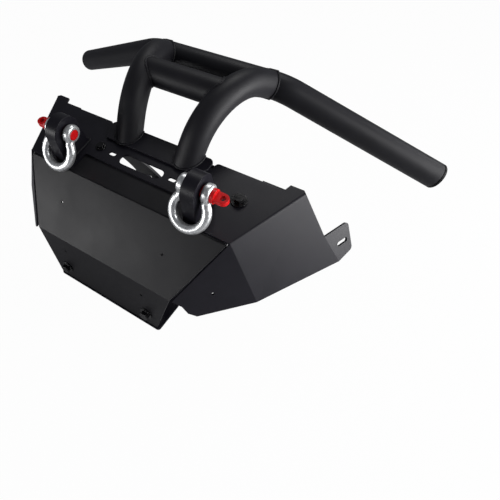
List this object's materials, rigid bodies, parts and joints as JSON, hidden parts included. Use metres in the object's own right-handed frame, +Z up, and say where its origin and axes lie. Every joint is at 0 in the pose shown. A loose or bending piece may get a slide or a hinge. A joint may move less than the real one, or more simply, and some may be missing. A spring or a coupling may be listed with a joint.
{
  "type": "atv front bumper",
  "caption": "Front bumper with a folded sheet shroud, a bolted under-tray, a bent tube crown with a swept top bar, and two swinging bow shackles on tow lugs.",
  "frame": {"origin": "centre of the tray's underside, the face the bumper stands on", "axes": "+X to the right as seen from in front, +Y back towards the vehicle, +Z up"},
  "size_m": [0.9078, 0.5143, 0.3824],
  "materials": {
    "sheet_paint": "satin black powder coat",
    "tube_paint": "satin black powder coat",
    "cap": "matt black",
    "zinc": "bright zinc plating",
    "pin_paint": "gloss red",
    "fastener": "black oxide"
  },
  "bodies": {
    "bumper": {"deck_shell": "sheet_paint", "front_plate": "sheet_paint", "tray": "sheet_paint", "leg_bracket": "sheet_paint", "arm_foot_plate": "sheet_paint", "right_arm_tube": "tube_paint", "left_arm_tube": "tube_paint", "cross_tube": "tube_paint", "top_bar_tube": "tube_paint", "right_end_cap": "cap", "left_end_cap": "cap", "right_tow_lug": "sheet_paint", "left_tow_lug": "sheet_paint", "outer_deck_bolts": "fastener", "outer_deck_washers": "fastener", "outer_deck_nuts": "fastener", "inner_deck_bolts": "fastener", "inner_deck_nuts": "fastener", "apron_bolts": "fastener", "apron_nuts": "fastener", "tray_bolts": "fastener"},
    "right_shackle": {"right_shackle_bow": "zinc", "right_shackle_pin": "pin_paint"},
    "left_shackle": {"left_shackle_bow": "zinc", "left_shackle_pin": "pin_paint"}
  },
  "joints": [
    {"name": "right_shackle_swing", "type": "hinge", "parent": "bumper", "child": "right_shackle", "pos_m": [0.1374, -0.07176, 0.29373], "axis": [-1, 0, 0], "range_deg": [0, 270]},
    {"name": "left_shackle_swing", "type": "hinge", "parent": "bumper", "child": "left_shackle", "pos_m": [-0.1374, -0.07176, 0.29373], "axis": [-1, 0, 0], "range_deg": [0, 270]}
  ]
}
